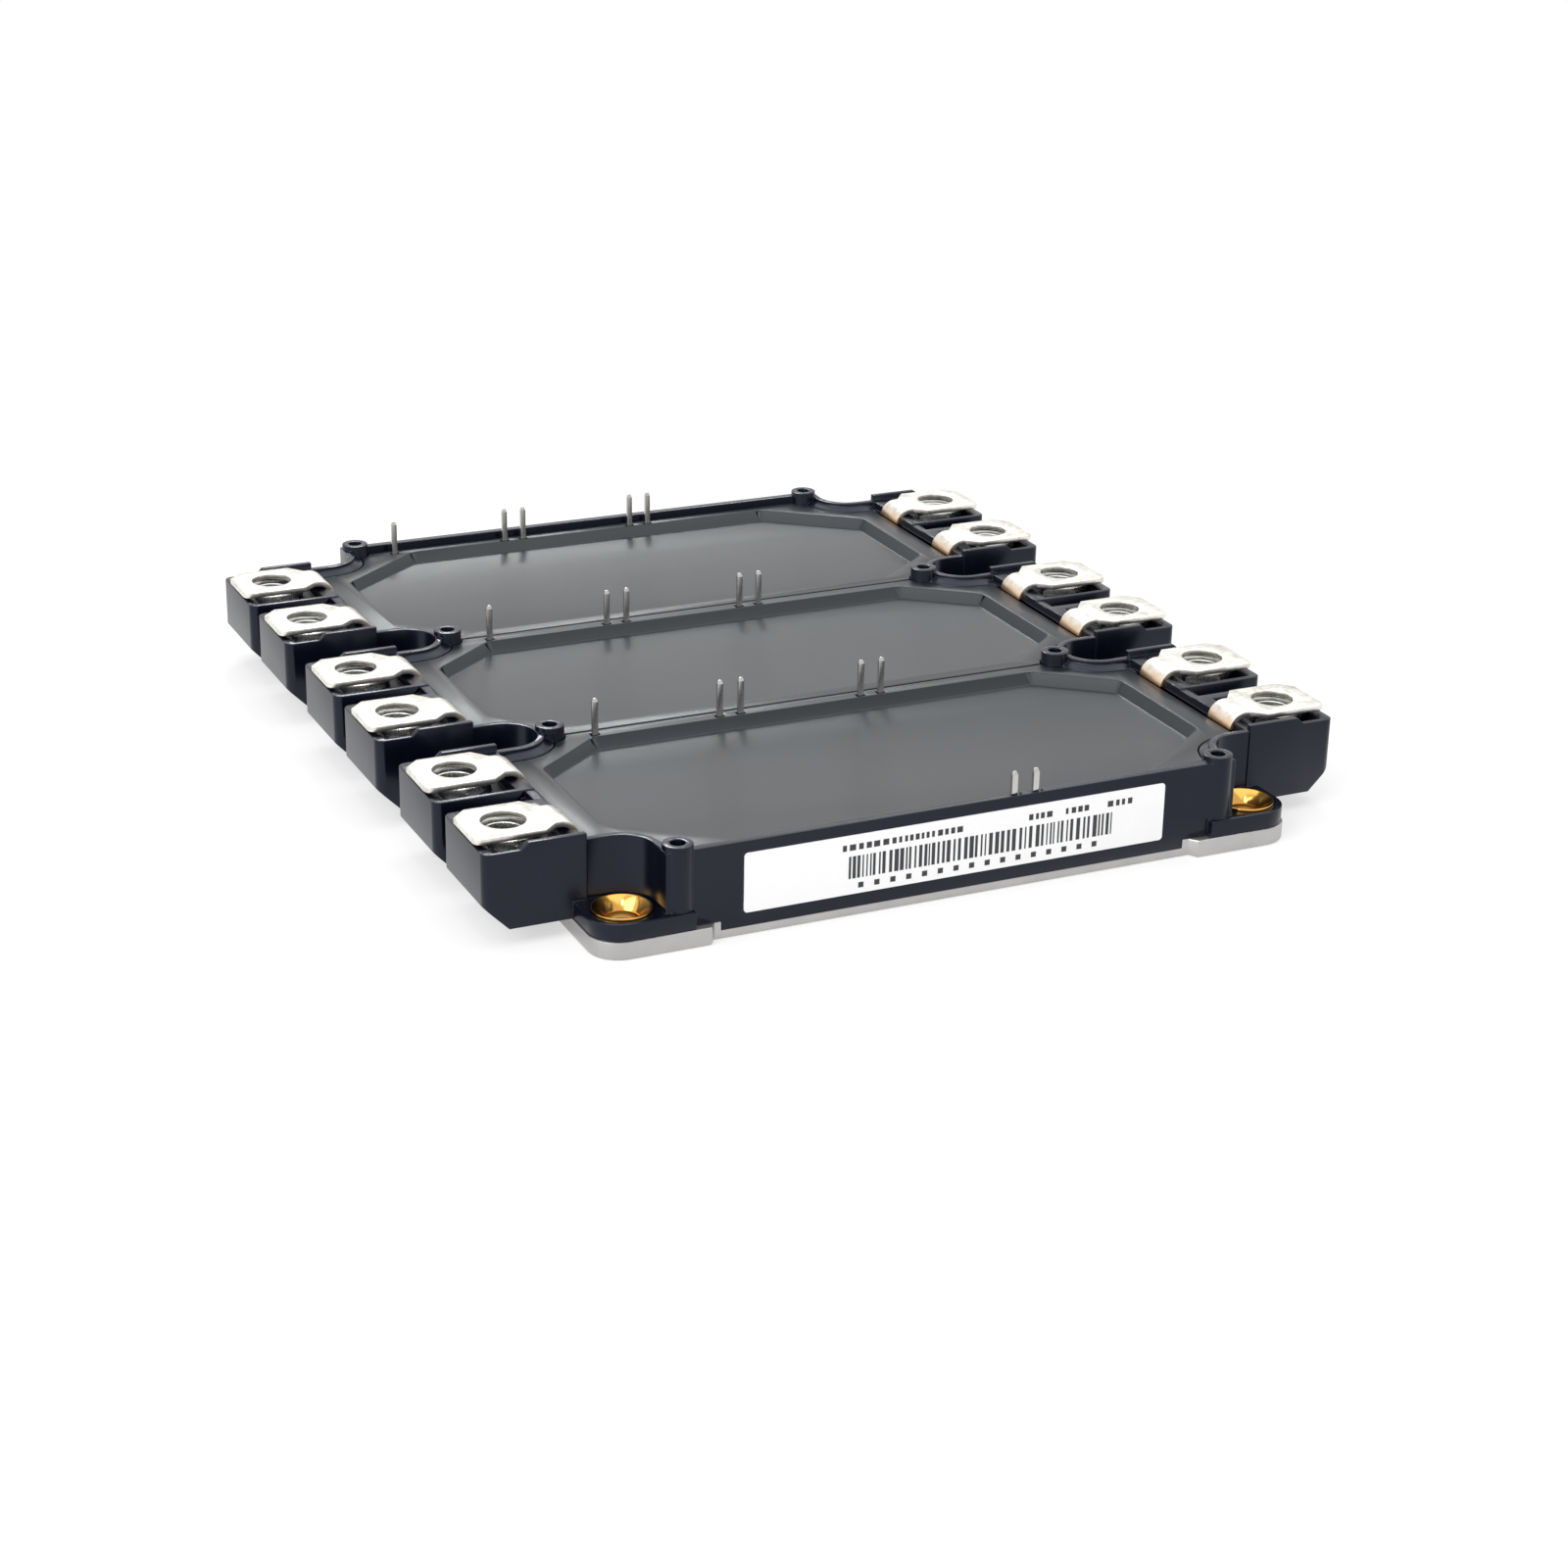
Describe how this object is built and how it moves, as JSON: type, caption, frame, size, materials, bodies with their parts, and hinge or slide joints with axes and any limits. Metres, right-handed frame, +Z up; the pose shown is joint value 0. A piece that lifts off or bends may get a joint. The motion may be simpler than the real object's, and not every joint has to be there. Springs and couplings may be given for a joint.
{
  "type": "power transistor module",
  "caption": "Flat six-switch power module: metal base plate, black moulded frame with tray lids, screw terminals along both sides and upright signal pins.",
  "frame": {"origin": "centre of the base plate's underside", "axes": "+Z up from the cooling face, +X towards the output terminals, +Y from the labelled end wall to the opposite one"},
  "size_m": [0.1504, 0.162, 0.0205],
  "materials": {
    "nickel_plate": "satin nickel plating on copper",
    "frame_plastic": "fine moulded texture, near black",
    "lid_plastic": "fine moulded texture, near black",
    "zinc_steel": "zinc plated",
    "tinned_copper": "bright tin plating on copper strip",
    "collar_brass": "turned and bright",
    "tinned_pins": "bright tin plating",
    "sensor_body": "glazed chip",
    "bare_copper": "bare copper foil",
    "white_ceramic": "matt white",
    "chip_silicon": "polished",
    "wire_aluminium": "bright",
    "silicone": "soft clear filling",
    "label_film": "matt white film"
  },
  "bodies": {
    "root": {"back_copper_u": "bare_copper", "back_copper_v": "bare_copper", "back_copper_w": "bare_copper", "base_plate": "nickel_plate", "bond_wires_u": "wire_aluminium", "bond_wires_v": "wire_aluminium", "bond_wires_w": "wire_aluminium", "ceramic_u": "white_ceramic", "ceramic_v": "white_ceramic", "ceramic_w": "white_ceramic", "copper_tracks_u": "bare_copper", "copper_tracks_v": "bare_copper", "copper_tracks_w": "bare_copper", "diode_chips_u": "chip_silicon", "diode_chips_v": "chip_silicon", "diode_chips_w": "chip_silicon", "housing_flanges": "frame_plastic", "housing_frame": "frame_plastic", "label": "label_film", "lid_u": "lid_plastic", "lid_v": "lid_plastic", "lid_w": "lid_plastic", "mounting_collars": "collar_brass", "signal_pins_u": "tinned_pins", "signal_pins_v": "tinned_pins", "signal_pins_w": "tinned_pins", "silicone_gel_u": "silicone", "silicone_gel_v": "silicone", "silicone_gel_w": "silicone", "terminal_blocks": "frame_plastic", "terminal_minus_u": "tinned_copper", "terminal_minus_v": "tinned_copper", "terminal_minus_w": "tinned_copper", "terminal_nuts": "zinc_steel", "terminal_output_a_u": "tinned_copper", "terminal_output_a_v": "tinned_copper", "terminal_output_a_w": "tinned_copper", "terminal_output_b_u": "tinned_copper", "terminal_output_b_v": "tinned_copper", "terminal_output_b_w": "tinned_copper", "terminal_plus_u": "tinned_copper", "terminal_plus_v": "tinned_copper", "terminal_plus_w": "tinned_copper", "thermistor": "sensor_body", "thermistor_pins": "tinned_pins", "transistor_chips_u": "chip_silicon", "transistor_chips_v": "chip_silicon", "transistor_chips_w": "chip_silicon"}
  },
  "joints": []
}
